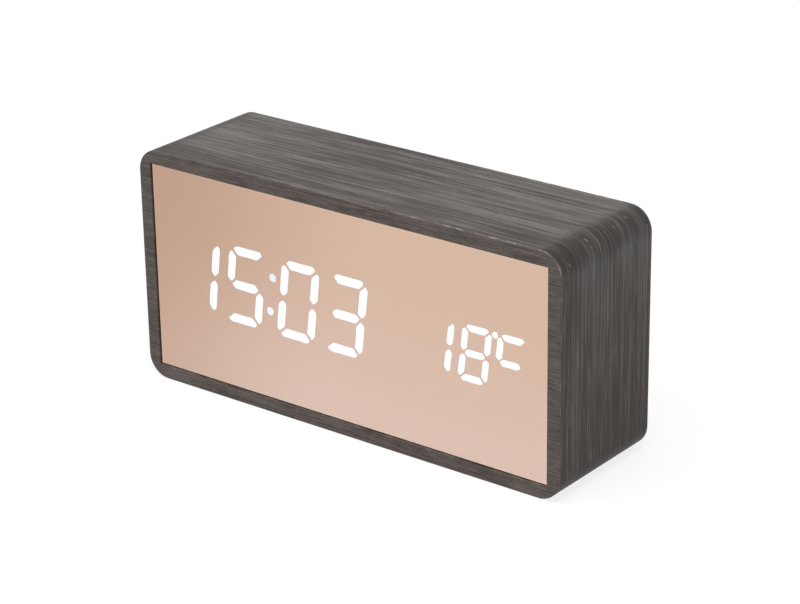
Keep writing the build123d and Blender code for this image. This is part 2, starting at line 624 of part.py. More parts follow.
def battery_door():
    """The door: a ribbed plate on a barrel with a pin at each end, a catch at the top and finger grooves."""
    door = span(DOOR_X, (DOOR_INNER_Y, COVER_OUTER_Y), (HINGE_Z, DOOR_TOP))
    door += rod_x(2 * BARREL_RADIUS, DOOR_X, HINGE_Y, HINGE_Z)
    pins = (DOOR_X[0] - HINGE_PIN_LENGTH, DOOR_X[1] + HINGE_PIN_LENGTH)
    door += rod_x(2 * HINGE_PIN_RADIUS, pins, HINGE_Y, HINGE_Z)
    catch_y = (DOOR_INNER_Y, DOOR_INNER_Y + CATCH_THICKNESS)
    door += span(around(DOOR_MIDDLE, CATCH_WIDTH), catch_y, (DOOR_TOP, DOOR_TOP + CATCH_HEIGHT))
    rib_x = (BAY_X[0] + RIB_INSET, BAY_X[1] - RIB_INSET)
    rib_y = (COVER_INNER_Y, DOOR_INNER_Y)
    for z in (CELLS_Z - CELL_PITCH / 2, CELLS_Z + CELL_PITCH / 2):
        door += span(rib_x, rib_y, around(z, RIB_WIDTH))
    for x in (*rib_x, sum(BAY_X) / 2):
        door += span(around(x, RIB_WIDTH), rib_y, (CELL_ROWS[2], CELL_ROWS[0]))
    grooves = []
    for i in range(GRIP_COUNT):
        z = DOOR_TOP - GRIP_INSET - GRIP_PITCH * i
        grooves.append(rod_x(2 * GRIP_RADIUS, around(DOOR_MIDDLE, GRIP_LENGTH), COVER_OUTER_Y, z))
    return door - grooves


def battery_cell(row):
    """One AAA cell, with its nub towards the end that its row faces."""
    z, way = CELL_ROWS[row], CELL_WAYS[row]
    inner = CONTACT_THICKNESS + CONTACT_PLAY
    tip = BAY_X[1] - inner if way > 0 else BAY_X[0] + inner
    neck = tip - way * CELL_NUB_LENGTH
    base = tip - way * CELL_LENGTH
    can = rod_x(CELL_DIAMETER, sorted((base, neck)), CELL_Y, z)
    can = fillet(can.edges().filter_by(GeomType.CIRCLE), CELL_ROUND)
    return can + rod_x(CELL_NUB_DIAMETER, sorted((neck, tip)), CELL_Y, z)


def contact_plates():
    """A plate at both ends of each cell."""
    plates = []
    for z in CELL_ROWS:
        y, z_ends = around(CELL_Y, CONTACT_SIZE), around(z, CONTACT_SIZE)
        plates.append(span((BAY_X[0], BAY_X[0] + CONTACT_THICKNESS), y, z_ends))
        plates.append(span((BAY_X[1] - CONTACT_THICKNESS, BAY_X[1]), y, z_ends))
    return group(plates)


def spring_point(turn, length):
    """A point on the wire of a tapered spring along X, and its direction there."""
    share = turn / SPRING_TURNS
    radius = SPRING_BASE_RADIUS + (SPRING_TIP_RADIUS - SPRING_BASE_RADIUS) * share
    angle = 2 * math.pi * turn
    narrowing = (SPRING_TIP_RADIUS - SPRING_BASE_RADIUS) / (2 * math.pi * SPRING_TURNS)
    point = Vector(length * share, radius * math.cos(angle), radius * math.sin(angle))
    direction = Vector(
        length / (2 * math.pi * SPRING_TURNS),
        narrowing * math.cos(angle) - radius * math.sin(angle),
        narrowing * math.sin(angle) + radius * math.cos(angle),
    )
    return point, direction.normalized()


def biarc(start, start_way, end, end_way):
    """Two arcs that leave one point and reach another in the directions given."""
    chord = end - start
    ways = start_way + end_way
    a = 2 * (1 - start_way.dot(end_way))
    b = 2 * chord.dot(ways)
    reach = (-b + math.sqrt(b * b + 4 * a * chord.dot(chord))) / (2 * a)
    first = start + start_way * reach
    last = end - end_way * reach
    joint = (first + last) * 0.5
    return [
        Edge.make_tangent_arc(start, start_way, joint),
        Edge.make_tangent_arc(joint, last - first, end),
    ]


def spring_coil():
    """A tapered spring from the origin along X, on quarter-turn pairs of arcs."""
    length = SPRING_LENGTH - SPRING_WIRE - 2 * CONTACT_PLAY
    quarters = [spring_point(i / 4, length) for i in range(4 * SPRING_TURNS + 1)]
    edges = []
    for (start, start_way), (end, end_way) in zip(quarters, quarters[1:]):
        edges += biarc(start, start_way, end, end_way)
    path = Wire(edges)
    section = Plane(origin=quarters[0][0], z_dir=quarters[0][1]) * Circle(SPRING_WIRE / 2)
    return sweep(section, path=path)


def spring_gap():
    """The least distance between neighbouring turns of a spring."""
    length = SPRING_LENGTH - SPRING_WIRE - 2 * CONTACT_PLAY
    points = [spring_point(i / 24, length)[0] for i in range(24 * SPRING_TURNS + 1)]
    pairs = [(p, q) for i, p in enumerate(points) for q in points[i + 12:]]
    return min((q - p).length for p, q in pairs) - SPRING_WIRE


def battery_springs():
    """A spring on the plate at the flat end of each cell."""
    start = CONTACT_THICKNESS + SPRING_WIRE / 2 + CONTACT_PLAY
    springs = []
    for z, way in zip(CELL_ROWS, CELL_WAYS):
        base = BAY_X[0] + start if way > 0 else BAY_X[1] - start
        turn = Rot(0, 0, 0) if way > 0 else Rot(0, 0, 180)
        springs.append(Pos(base, CELL_Y, z) * turn * spring_coil())
    return group(springs)


def key_symbol(kind):
    """The mark on a key: a ring to set, a triangle to count up or down."""
    if kind == "set":
        return Circle(SYMBOL_SIZE / 2) - Circle(SYMBOL_SIZE / 2 - SYMBOL_LINE)
    return RegularPolygon(SYMBOL_SIZE / 2, 3, rotation=90 if kind == "up" else -90)


def key_button(kind, z):
    """A round key with a flange behind the cover."""
    face = COVER_OUTER_Y + KEY_PROUD
    flange_y = COVER_INNER_Y - KEY_PLAY
    cap = rod_y(KEY_DIAMETER, (flange_y, face), KEY_X, z)
    cap = fillet(cap.edges().group_by(Axis.Y)[-1], KEY_ROUND)
    cap += rod_y(KEY_FLANGE_DIAMETER, (flange_y - KEY_FLANGE_THICKNESS, flange_y), KEY_X, z)
    return cap - slab(Pos(KEY_X, z) * key_symbol(kind), (face - SYMBOL_DEPTH, face))


def switch_body(z):
    """A push switch on the control board, open at the top for its plunger."""
    top = CONTROL_BACK_Y + SWITCH_BODY_HEIGHT
    body = span(around(KEY_X, SWITCH_SIZE), (CONTROL_BACK_Y, top), around(z, SWITCH_SIZE))
    depth = PLUNGER_SEAT + KEY_TRAVEL + PLUNGER_SPARE
    return body - rod_y(PLUNGER_DIAMETER + 2 * PLUNGER_CLEARANCE, (top - depth, top), KEY_X, z)


def switch_plunger(z):
    """The plunger that a key rests on."""
    top = CONTROL_BACK_Y + SWITCH_BODY_HEIGHT
    return rod_y(PLUNGER_DIAMETER, (top - PLUNGER_SEAT, CONTROL_BACK_Y + SWITCH_HEIGHT), KEY_X, z)


def control_board():
    """The board of the keys, the power socket and the clockwork, on the bosses of the cover."""
    y = (CONTROL_FRONT_Y, CONTROL_BACK_Y)
    board = span(around(CONTROL_X, CONTROL_WIDTH), y, around(CENTRE_Z, CONTROL_HEIGHT))
    return board - [rod_y(SMALL_SCREW_SHANK + 2 * HOLE_PLAY, y, *place) for place in BOSSES]


def usb_socket():
    """The socket's metal shell, closed at the board."""
    shell = slab(usb_sketch(0), (CONTROL_BACK_Y, USB_MOUTH_Y))
    return shell - slab(usb_sketch(-USB_WALL), (CONTROL_BACK_Y + USB_WALL, USB_MOUTH_Y))


def usb_tongue():
    """The tongue that carries the socket's contacts."""
    x, z = on_control_board(USB_PLACE)
    y = (CONTROL_BACK_Y + USB_WALL, USB_MOUTH_Y - USB_TONGUE_SINK)
    return span(around(x, USB_TONGUE_WIDTH), y, around(z, USB_TONGUE_THICKNESS))


def buzzer():
    """The sounder, just under the ring of holes in the cover."""
    x, z = on_control_board(BUZZER_PLACE)
    top = COVER_INNER_Y - BUZZER_GAP
    can = rod_y(BUZZER_DIAMETER, (CONTROL_BACK_Y, top), x, z)
    return can - rod_y(BUZZER_PORT, (top - BUZZER_PORT_DEPTH, top), x, z)


def microphone():
    """The capsule that hears a clap."""
    x, z = on_control_board(MICROPHONE_PLACE)
    top = CONTROL_BACK_Y + MICROPHONE_HEIGHT
    can = rod_y(MICROPHONE_DIAMETER, (CONTROL_BACK_Y, top), x, z)
    return can - rod_y(MICROPHONE_DIAMETER - 2 * MICROPHONE_RIM, (top - MICROPHONE_FACE_DEPTH, top), x, z)


def temperature_sensor():
    """A bead on two leads, held up to the vents."""
    x, z = on_control_board(SENSOR_PLACE)
    middle = CONTROL_BACK_Y + SENSOR_STAND
    bead = Pos(x, middle, z) * Sphere(SENSOR_BEAD / 2)
    leads = []
    for lead_x in around(x, SENSOR_LEAD_PITCH):
        leads.append(rod_y(SENSOR_LEAD, (CONTROL_BACK_Y, middle), lead_x, z))
    return bead + leads


def coin_holder():
    """The round cup that holds the back-up cell on the inner face of the control board."""
    x, z = on_control_board(COIN_PLACE)
    bore = COIN_DIAMETER + 2 * COIN_PLAY
    height = COIN_HOLDER_FLOOR + COIN_THICKNESS
    cup = rod_y(bore + 2 * COIN_HOLDER_WALL, (CONTROL_FRONT_Y - height, CONTROL_FRONT_Y), x, z)
    return cup - rod_y(bore, (CONTROL_FRONT_Y - height, CONTROL_FRONT_Y - COIN_HOLDER_FLOOR), x, z)


def coin_cell():
    x, z = on_control_board(COIN_PLACE)
    base = CONTROL_FRONT_Y - COIN_HOLDER_FLOOR
    return rod_y(COIN_DIAMETER, (base - COIN_THICKNESS, base), x, z)


def coin_clip():
    """The strip across the back-up cell that holds it in its cup."""
    x, z = on_control_board(COIN_PLACE)
    seat = CONTROL_FRONT_Y - COIN_HOLDER_FLOOR - COIN_THICKNESS
    length = COIN_DIAMETER + 2 * COIN_PLAY + 2 * COIN_HOLDER_WALL
    return span(around(x, COIN_CLIP_WIDTH), (seat - COIN_CLIP_THICKNESS, seat), around(z, length))


def clock_crystal():
    x, z = on_control_board(CRYSTAL_PLACE)
    return rod_x(CRYSTAL_DIAMETER, around(x, CRYSTAL_LENGTH), CONTROL_FRONT_Y - CRYSTAL_DIAMETER / 2, z)


def capacitor():
    x, z = on_control_board(CAPACITOR_PLACE)
    can = rod_y(CAPACITOR_DIAMETER, (CONTROL_FRONT_Y - CAPACITOR_HEIGHT, CONTROL_FRONT_Y), x, z)
    return fillet(can.edges().group_by(Axis.Y)[0], CAPACITOR_ROUND)


def ribbon_header(x, board_y, way):
    """A cable header on a board's face."""
    y = sorted((board_y, board_y + way * HEADER_HEIGHT))
    return span(around(x, HEADER_WIDTH), y, around(CENTRE_Z, HEADER_LENGTH))


def ribbon_cable():
    """The flat cable from the control board to the display board."""
    rear = CONTROL_FRONT_Y - HEADER_HEIGHT
    front = DISPLAY_BACK_Y + HEADER_HEIGHT
    middle = (rear + front) / 2
    points = [(RIBBON_REAR_X, rear), (RIBBON_REAR_X, middle), (RIBBON_FRONT_X, middle)]
    bend = RIBBON_BEND_SHARE * (rear - front) / 2
    path = FilletPolyline(*points, (RIBBON_FRONT_X, front), radius=bend)
    start = Plane(origin=(*points[0], 0), x_dir=(1, 0, 0), z_dir=(0, -1, 0))
    return Pos(0, 0, CENTRE_Z) * sweep(start * Rectangle(RIBBON_THICKNESS, RIBBON_WIDTH), path=path)


def battery_lead(place):
    """An insulated wire from a contact plate, through the tray's floor, to the control board."""
    x, z = place
    under = TRAY_FLOOR_Y - TRAY_WALL - LEAD_REACH
    points = [(x, CELL_Y - CONTACT_SIZE / 2, z), (x, under, z), (LEAD_PAD_X, under, z)]
    path = FilletPolyline(*points, (LEAD_PAD_X, CONTROL_FRONT_Y, z), radius=LEAD_BEND)
    section = Plane(origin=path @ 0, z_dir=path % 0) * Circle(LEAD_DIAMETER / 2)
    return sweep(section, path=path)


def build_parts():
    """Every sub-part, by the name of its node."""
    sketches = display_sketches()
    every_sketch = [sketch for row in sketches.values() for sketch in row]
    rear_seat = COVER_OUTER_Y - COUNTERBORE_DEPTH
    driver_place = (DRIVER_CHIP_PLACE[0], CENTRE_Z + DRIVER_CHIP_PLACE[1])
    clock_place = on_control_board(CLOCK_CHIP_PLACE)
    parts = {
        "case_core": case_core(),
        "veneer_wrap": veneer_wrap(),
        "front_edge_veneer": edge_veneer((FRONT_Y, FRONT_Y + VENEER), 0),
        "rear_edge_veneer": edge_veneer((REAR_Y - VENEER, REAR_Y), -1),
        "corner_battens": corner_battens(),
        "mirror_panel": mirror_panel(),
        "mirror_tape": mirror_tape(),
        "display_reflector": display_reflector(every_sketch),
        "segment_leds": segment_leds(every_sketch),
        "display_board": display_board(),
        "display_screws": wood_screws(DISPLAY_FRONT_Y, 1),
        "reflector_screws": small_screws(REFLECTOR_SCREWS, DISPLAY_BACK_Y, -1),
        "driver_chip": chip(driver_place, DRIVER_CHIP_SIZE, DISPLAY_BACK_Y, 1, DRIVER_CHIP_LEAD_COUNT),
        "display_resistors": display_resistors(),
        "rear_cover": rear_cover(),
        "cover_screws": wood_screws(rear_seat, -1),
        "battery_door": battery_door(),
        "contact_plates": contact_plates(),
        "battery_springs": battery_springs(),
        "control_board": control_board(),
        "control_board_screws": small_screws(BOSSES, CONTROL_FRONT_Y, 1),
        "usb_socket": usb_socket(),
        "usb_tongue": usb_tongue(),
        "buzzer": buzzer(),
        "microphone": microphone(),
        "temperature_sensor": temperature_sensor(),
        "coin_holder": coin_holder(),
        "coin_cell": coin_cell(),
        "coin_clip": coin_clip(),
        "clock_chip": chip(clock_place, CLOCK_CHIP_SIZE, CONTROL_FRONT_Y, -1, CLOCK_CHIP_LEAD_COUNT),
        "clock_crystal": clock_crystal(),
        "capacitor": capacitor(),
        "ribbon_header_front": ribbon_header(RIBBON_FRONT_X, DISPLAY_BACK_Y, 1),
        "ribbon_header_rear": ribbon_header(RIBBON_REAR_X, CONTROL_FRONT_Y, -1),
        "ribbon_cable": ribbon_cable(),
        "battery_lead_positive": battery_lead(LEAD_PLUS),
        "battery_lead_negative": battery_lead(LEAD_MINUS),
    }
    for name, row in sketches.items():
        parts[name] = segment_fills(row)
    for row, name in enumerate(("upper_cell", "middle_cell", "lower_cell")):
        parts[name] = battery_cell(row)
    for kind, z in zip(("set", "up", "down"), KEY_ROWS):
        parts[f"{kind}_button"] = key_button(kind, z)
        parts[f"{kind}_switch_body"] = switch_body(z)
        parts[f"{kind}_switch_plunger"] = switch_plunger(z)
    return parts


os.makedirs("parts", exist_ok=True)
for node, shape in build_parts().items():
    export_step(shape, f"parts/{node}.step")
print(f"least gap between the turns of a battery spring: {spring_gap():.2f} mm")
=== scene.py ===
import math

import bmesh
import bpy
from mathutils import Matrix, Vector


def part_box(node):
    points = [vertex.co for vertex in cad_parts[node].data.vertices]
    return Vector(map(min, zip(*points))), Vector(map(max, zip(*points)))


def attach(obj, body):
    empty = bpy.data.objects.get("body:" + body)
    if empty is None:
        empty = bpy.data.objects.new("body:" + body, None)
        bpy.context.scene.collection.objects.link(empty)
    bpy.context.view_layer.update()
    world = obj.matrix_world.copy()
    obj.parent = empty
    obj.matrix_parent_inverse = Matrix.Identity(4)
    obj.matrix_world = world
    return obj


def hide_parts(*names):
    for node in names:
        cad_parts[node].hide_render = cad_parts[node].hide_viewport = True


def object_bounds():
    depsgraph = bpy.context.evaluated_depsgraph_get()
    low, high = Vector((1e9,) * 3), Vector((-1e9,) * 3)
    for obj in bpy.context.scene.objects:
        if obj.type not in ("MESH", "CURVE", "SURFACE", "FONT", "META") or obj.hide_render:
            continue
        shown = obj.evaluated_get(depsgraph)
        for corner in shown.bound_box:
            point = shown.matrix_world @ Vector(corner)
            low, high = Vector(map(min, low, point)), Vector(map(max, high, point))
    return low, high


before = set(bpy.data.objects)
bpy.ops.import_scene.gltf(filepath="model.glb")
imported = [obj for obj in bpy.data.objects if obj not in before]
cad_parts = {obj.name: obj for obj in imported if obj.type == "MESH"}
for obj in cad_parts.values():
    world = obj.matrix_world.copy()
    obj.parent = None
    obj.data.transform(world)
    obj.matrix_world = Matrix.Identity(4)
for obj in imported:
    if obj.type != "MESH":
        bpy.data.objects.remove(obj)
cad_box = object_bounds()

MM = 0.001
KEYS = ("set", "up", "down")

# The case, as in the CAD.
CORNER_RADIUS = 7 * MM
VENEER = 0.6 * MM
WINDOW_CLEARANCE = 0.2 * MM

# Edges that are eased here, and how finely the round forms are cut.
RIM_EDGE = 0.25 * MM
RIM_EDGE_SEGMENTS = 3
MIRROR_EDGE = 0.1 * MM
MIRROR_EDGE_SEGMENTS = 2
CORNER_SEGMENTS = 14
SMOOTH_BELOW = math.radians(32)

# Limits for the tests on edges and faces: a length in metres, a part of a unit normal, radians.
SAME_PLACE = 1e-6
SQUARELY = 0.99
SHARP_EDGE = 0.5

# The camera that took the photograph: the width of its frame, and its focal length in pixels.
FRAME_WIDTH = 800
FOCAL_PIXELS = 2664
SENSOR_WIDTH = 36
AZIMUTH = math.radians(38.10)
ELEVATION = math.radians(22.48)
ROLL = math.radians(0.90)
DISTANCE = 767.4 * MM
AIM = Vector((0, 0, 35 * MM))
SHIFT_RIGHT = -3.27 * MM
SHIFT_UP = 0.91 * MM

# The studio. The floor keeps the clock's shadow up to the first of two distances in metres, and is
# plain white from the second on. The ceiling begins between two sines of the angle of a ray.
WHITE = (1, 1, 1)
ROOM_LIGHT = 0.34
CEILING_GREY = 0.22
CEILING_RISE = (0.46, 0.60)
FLOOR_SIZE = 6
FLOOR_GREY = 0.66
FLOOR_GLOW = 1.065
GLOW_BY_CLOCK = 0.77
FLOOR_CLEARS = (0.3, 0.7)

# Colours of the veneer: the pale tones of the wrap and of the rims, the stain between them and in
# the pores, the painted shade in the bends, and what scuffs and wear lay bare. Rubs grow between
# two places in x.
WRAP_TONES = ((0.137, 0.123, 0.111), (0.129, 0.123, 0.118))
RIM_TONES = ((0.148, 0.121, 0.107), (0.142, 0.120, 0.109))
DEEP_STAIN = (0.028, 0.0203, 0.016)
PORE_STAIN = (0.018, 0.015, 0.014)
BEND_SHADE = (0.026, 0.022, 0.020)
SCUFFED_STAIN = (0.225, 0.213, 0.205)
BARE_WOOD = (0.32, 0.29, 0.265)
FIGURE_MIDDLE = 0.51
RUBBED_TO_THE_RIGHT = (-20 * MM, 50 * MM)

# Colours of the mirror, with a painted reflection: pale copper, deeper copper at the top and at the
# left; and the share of the light that its coat keeps.
PALE_COPPER = (0.690, 0.515, 0.432)
UPPER_PAINTED_REFLECTION = (0.648, 0.460, 0.352)
LEFT_PAINTED_REFLECTION = (0.516, 0.339, 0.247)
MIRROR_COAT = 0.92


def grey(level):
    return (level, level, level)


class Value:
    """A socket in a node tree. Arithmetic on it adds Math nodes."""

    def __init__(self, nodes, socket):
        self.nodes = nodes
        self.socket = socket

    def output(self, name):
        """Another output of the same node."""
        return Value(self.nodes, self.socket.node.outputs[name])

    def math(self, operation, first, second=0.0):
        return self.nodes.node("Math", {"operation": operation}, {0: first, 1: second})

    def __add__(self, other):
        return self.math("ADD", self, other)

    def __radd__(self, other):
        return self.math("ADD", other, self)

    def __sub__(self, other):
        return self.math("SUBTRACT", self, other)

    def __rsub__(self, other):
        return self.math("SUBTRACT", other, self)

    def __mul__(self, other):
        return self.math("MULTIPLY", self, other)

    def __rmul__(self, other):
        return self.math("MULTIPLY", other, self)

    def __abs__(self):
        return self.math("ABSOLUTE", self)

    def larger(self, other):
        return self.math("MAXIMUM", self, other)

    def sine(self):
        return self.math("SINE", self)


class Nodes:
    """The nodes of one material, or of the world."""

    def __init__(self, tree):
        self.tree = tree
        tree.nodes.clear()

    def node(self, kind, settings, inputs, output=0):
        """A node of any kind: its settings first, then the values or links of its sockets.

        A colour is given as red, green and blue.
        """
        made = self.tree.nodes.new("ShaderNode" + kind)
        for name, setting in settings.items():
            setattr(made, name, setting)
        for name, value in inputs.items():
            socket = made.inputs[name]
            if isinstance(value, Value):
                self.tree.links.new(value.socket, socket)
            else:
                socket.default_value = (*value, 1.0) if socket.type == "RGBA" else value
        return Value(self, made.outputs[output]) if made.outputs else None

    def object_place(self):
        """Where a point of the piece lies, in metres."""
        return self.node("TexCoord", {}, {}, "Object")

    def axes(self, place):
        """The three numbers of a place."""
        x = self.node("SeparateXYZ", {}, {0: place}, "X")
        return x, x.output("Y"), x.output("Z")

    def join(self, x, y, z):
        """A place, from its three numbers."""
        return self.node("CombineXYZ", {}, {0: x, 1: y, 2: z})

    def length(self, place):
        """How far a place is from the origin."""
        return self.node("VectorMath", {"operation": "LENGTH"}, {0: place}, "Value")

    def noise(self, place, cells, detail=2.0, roughness=0.5):
        """Noise round a half, with so many cells in a metre."""
        sockets = {"Vector": place, "Scale": cells, "Detail": detail, "Roughness": roughness}
        return self.node("TexNoise", {}, sockets)

    def grain(self, along, across, pattern, detail=2.0, roughness=0.5):
        """Noise over two lengths, each already times its cells in a metre.

        Another pattern number gives another draw of the noise.
        """
        return self.noise(self.join(along, across, pattern), 1.0, detail, roughness)

    def ease(self, value, low, high):
        """From 0 to 1 as a value goes from low to high, eased at both ends."""
        sockets = {"Value": value, "From Min": low, "From Max": high}
        return self.node("MapRange", {"interpolation_type": "SMOOTHSTEP"}, sockets)

    def mix(self, share, first, second):
        """A colour between two others, by the Mix node's colour sockets."""
        return self.node("Mix", {"data_type": "RGBA"}, {0: share, 6: first, 7: second}, 2)

    def bump(self, height, strength, distance):
        """The normals of a fine relief."""
        sockets = {"Height": height, "Strength": strength, "Distance": distance}
        return self.node("Bump", {}, sockets)


class Finish(Nodes):
    """A material with its own node tree."""

    def __init__(self, name):
        self.material = bpy.data.materials.new(name)
        self.material.use_nodes = True
        super().__init__(self.material.node_tree)

    def show(self, shader):
        """Makes a shader the one that the piece is seen by."""
        self.node("OutputMaterial", {}, {"Surface": shader})
        return self

    def surface(self, sockets):
        """The usual shader, by its sockets."""
        return self.show(self.node("BsdfPrincipled", {}, sockets))


# Camera, light and floor.


def photo_camera():
    """The camera, from the angles and the distance that fit the case's edges in the photograph."""
    back = Vector((
        math.sin(AZIMUTH) * math.cos(ELEVATION),
        -math.cos(AZIMUTH) * math.cos(ELEVATION),
        math.sin(ELEVATION),
    ))
    level = Vector((math.cos(AZIMUTH), math.sin(AZIMUTH), 0))
    upright = back.cross(level)
    right = level * math.cos(ROLL) - upright * math.sin(ROLL)
    up = level * math.sin(ROLL) + upright * math.cos(ROLL)
    place = AIM + back * DISTANCE - right * SHIFT_RIGHT - up * SHIFT_UP
    lens = bpy.data.cameras.new("photo_camera")
    lens.sensor_width = SENSOR_WIDTH
    lens.lens = SENSOR_WIDTH * FOCAL_PIXELS / FRAME_WIDTH
    lens.clip_start = 10 * MM
    camera = bpy.data.objects.new("photo_camera", lens)
    camera.matrix_world = Matrix((
        (right.x, up.x, back.x, place.x),
        (right.y, up.y, back.y, place.y),
        (right.z, up.z, back.z, place.z),
        (0, 0, 0, 1),
    ))
    bpy.context.scene.collection.objects.link(camera)
    bpy.context.scene.camera = camera


def softbox(name, place, size, power, in_gloss):
    """A square studio lamp that faces the clock, seen in gloss or not."""
    lamp = bpy.data.lights.new(name, "AREA")
    lamp.size = size
    lamp.energy = power
    holder = bpy.data.objects.new(name, lamp)
    holder.location = place
    holder.rotation_euler = (AIM - Vector(place)).to_track_quat("-Z", "Y").to_euler()
    holder.visible_glossy = in_gloss
    bpy.context.scene.collection.objects.link(holder)


def seen_directly(nodes):
    """1 where a ray from the camera, a mirror or a clear piece arrives, and 0 for soft light."""
    ray = nodes.node("LightPath", {}, {}, "Is Camera Ray")
    return ray.larger(ray.output("Is Glossy Ray")).larger(ray.output("Is Transmission Ray"))


def studio_world():
    """White to the eye, white walls under a grey ceiling in gloss, and a softer grey as light."""
    world = bpy.data.worlds.new("studio")
    world.use_nodes = True
    bpy.context.scene.world = world
    nodes = Nodes(world.node_tree)
    _, _, rise = nodes.axes(nodes.node("TexCoord", {}, {}, "Generated"))
    to_the_eye = nodes.node("LightPath", {}, {}, "Is Camera Ray")
    ceiling = nodes.ease(rise, *CEILING_RISE) * (1 - to_the_eye)
    walls = nodes.mix(ceiling, WHITE, grey(CEILING_GREY))
    room = nodes.node("Background", {}, {"Color": WHITE, "Strength": ROOM_LIGHT})
    white = nodes.node("Background", {}, {"Color": walls, "Strength": 1.0})
    sky = nodes.node("MixShader", {}, {0: seen_directly(nodes), 1: room, 2: white})
    nodes.node("OutputWorld", {}, {"Surface": sky})


def studio_floor():
    """A pale table top that keeps a soft shadow of the clock, and is plain white further off."""
    bpy.ops.object.select_all(action="DESELECT")
    bpy.ops.mesh.primitive_plane_add(size=FLOOR_SIZE)
    floor = bpy.context.object
    floor.name = "floor"
    finish = Finish("pale_floor")
    paper = finish.node("BsdfDiffuse", {}, {"Color": grey(FLOOR_GREY)})
    glow = finish.node("Emission", {}, {"Color": WHITE, "Strength": FLOOR_GLOW})
    far = finish.ease(finish.length(finish.object_place()), *FLOOR_CLEARS)
    share = seen_directly(finish) * (GLOW_BY_CLOCK + far * (1 - GLOW_BY_CLOCK))
    finish.show(finish.node("MixShader", {}, {0: share, 1: paper, 2: glow}))
    floor.data.materials.append(finish.material)


# Veneer, board and mirror.


def stained_grain(finish, along, across, evenness, tones, depth=0.0):
    """Black-stained open grain: its colour, its streaks and its relief.

    The grain runs along the first of two lengths in metres. More evenness gives softer streaks. A
    depth is painted shade: it leaves less of the pale tones.
    """
    drift = finish.grain(along * 6, across * 50, 1.0) - 0.5
    lines = across + drift * (1.6 * MM)
    clouds = finish.grain(along * 16, across * 50, 41.0)
    bands = finish.grain(along * 12, lines * 260, 3.0, detail=3.0)
    streaks = finish.grain(along * 15, lines * 1050, 5.0, detail=4.0, roughness=0.60)
    fibres = finish.grain(along * 60, lines * 2900, 7.0, detail=3.0, roughness=0.60)
    pores = finish.ease(finish.grain(along * 210, lines * 3600, 11.0, detail=1.0), 0.58, 0.72)
    scuffs = finish.ease(finish.grain(along * 70, lines * 2100, 17.0, detail=3.0), 0.58, 0.74)
    figure = clouds * 0.12 + bands * 0.16 + streaks * 0.42 + fibres * 0.30
    # The depth, painted shade, shifts the figure towards the deep stain.
    tone = finish.ease(figure - depth, FIGURE_MIDDLE - evenness, FIGURE_MIDDLE + evenness)
    pale = finish.mix(finish.ease(clouds, 0.40, 0.62), *tones)
    stain = finish.mix(tone, DEEP_STAIN, pale)
    stain = finish.mix(pores * 0.5, stain, PORE_STAIN)
    stain = finish.mix(scuffs * 0.45, stain, SCUFFED_STAIN)
    relief = streaks * 0.5 + fibres * 0.5 - pores * 0.7
    return stain, streaks, relief


def veneer_surface(finish, stain, wear, streaks, relief):
    """The lacquered face of the veneer, down to bare wood where it is worn."""
    return finish.surface({
        "Base Color": finish.mix(wear, stain, BARE_WOOD),
        "Roughness": 0.42 + streaks * 0.22,
        "Specular IOR Level": 0.24,
        "Normal": finish.bump(relief, strength=0.35, distance=0.08 * MM),
    })


def wrap_finish(half_width, middle):
    """The veneer round the case: its grain follows the sheet's own map.

    Painted shade darkens it in the bends and, a little, towards the front edge and the foot.
    """
    finish = Finish("black_veneer_wrap")
    along, across, _ = finish.axes(finish.node("TexCoord", {}, {}, "UV"))
    x, _, z = finish.axes(finish.object_place())
    past_x = finish.ease(
        abs(x), half_width - 1.45 * CORNER_RADIUS, half_width - 0.6 * CORNER_RADIUS)
    past_z = finish.ease(
        abs(z - middle), middle - 1.3 * CORNER_RADIUS, middle - 0.5 * CORNER_RADIUS)
    corner = past_x * past_z
    # Painted shade in the bends, broken up by noise.
    bend_shade_breakup = finish.grain(along * 60, across * 420, 31.0, detail=3.0)
    bend_shade = corner * finish.ease(bend_shade_breakup, 0.22, 0.58)
    specks = finish.grain(along * 260, across * 620, 47.0)
    nicks = corner * finish.ease(specks, 0.66, 0.74) * 0.35
    rubs = finish.grain(along * 260, across * 900, 23.0, detail=3.0)
    by_the_rims = finish.ease(abs(across), 20.7 * MM, 21.4 * MM)
    upper = finish.ease(z, 1.6 * middle, 1.9 * middle)
    edge = by_the_rims * finish.ease(x, *RUBBED_TO_THE_RIGHT) * upper
    wear = nicks.larger(edge * finish.ease(rubs, 0.52, 0.70) * 0.45)
    # Painted shade: the stain is deepened a little towards the front edge and the foot, as depth.
    front = 1 - finish.ease(across, -22 * MM, -9 * MM)
    foot = 1 - finish.ease(z, 6 * MM, 54 * MM)
    depth = (front * 0.032).larger(foot * 0.060)
    stain, streaks, relief = stained_grain(
        finish, along, across, evenness=0.10, tones=WRAP_TONES, depth=depth)
    # The painted shade of the bends goes over the stain.
    stain = finish.mix(bend_shade * 0.84, stain, BEND_SHADE)
    return veneer_surface(finish, stain, wear, streaks, relief)


def rim_finish(top):
    """The veneer frames on the two rims: a finer grain along the width, and rubs at the right."""
    finish = Finish("black_veneer_rim")
    x, y, z = finish.axes(finish.object_place())
    rubs = finish.noise(finish.join(x * 320, y * 900, z * 320), 1.0, detail=3.0)
    eased = 1 - finish.ease(abs(y), 21.78 * MM, 21.94 * MM)
    upper = finish.ease(z, 0.8 * top, 0.95 * top)
    side = finish.ease(x, 73.6 * MM, 74.4 * MM) * 0.45
    edge = eased * finish.ease(x, *RUBBED_TO_THE_RIGHT) * upper.larger(side)
    wear = edge * finish.ease(rubs, 0.48, 0.68) * 0.7
    stain, streaks, relief = stained_grain(
        finish, x * 4.5, z * 1.8, evenness=0.17, tones=RIM_TONES)
    return veneer_surface(finish, stain, wear, streaks, relief)


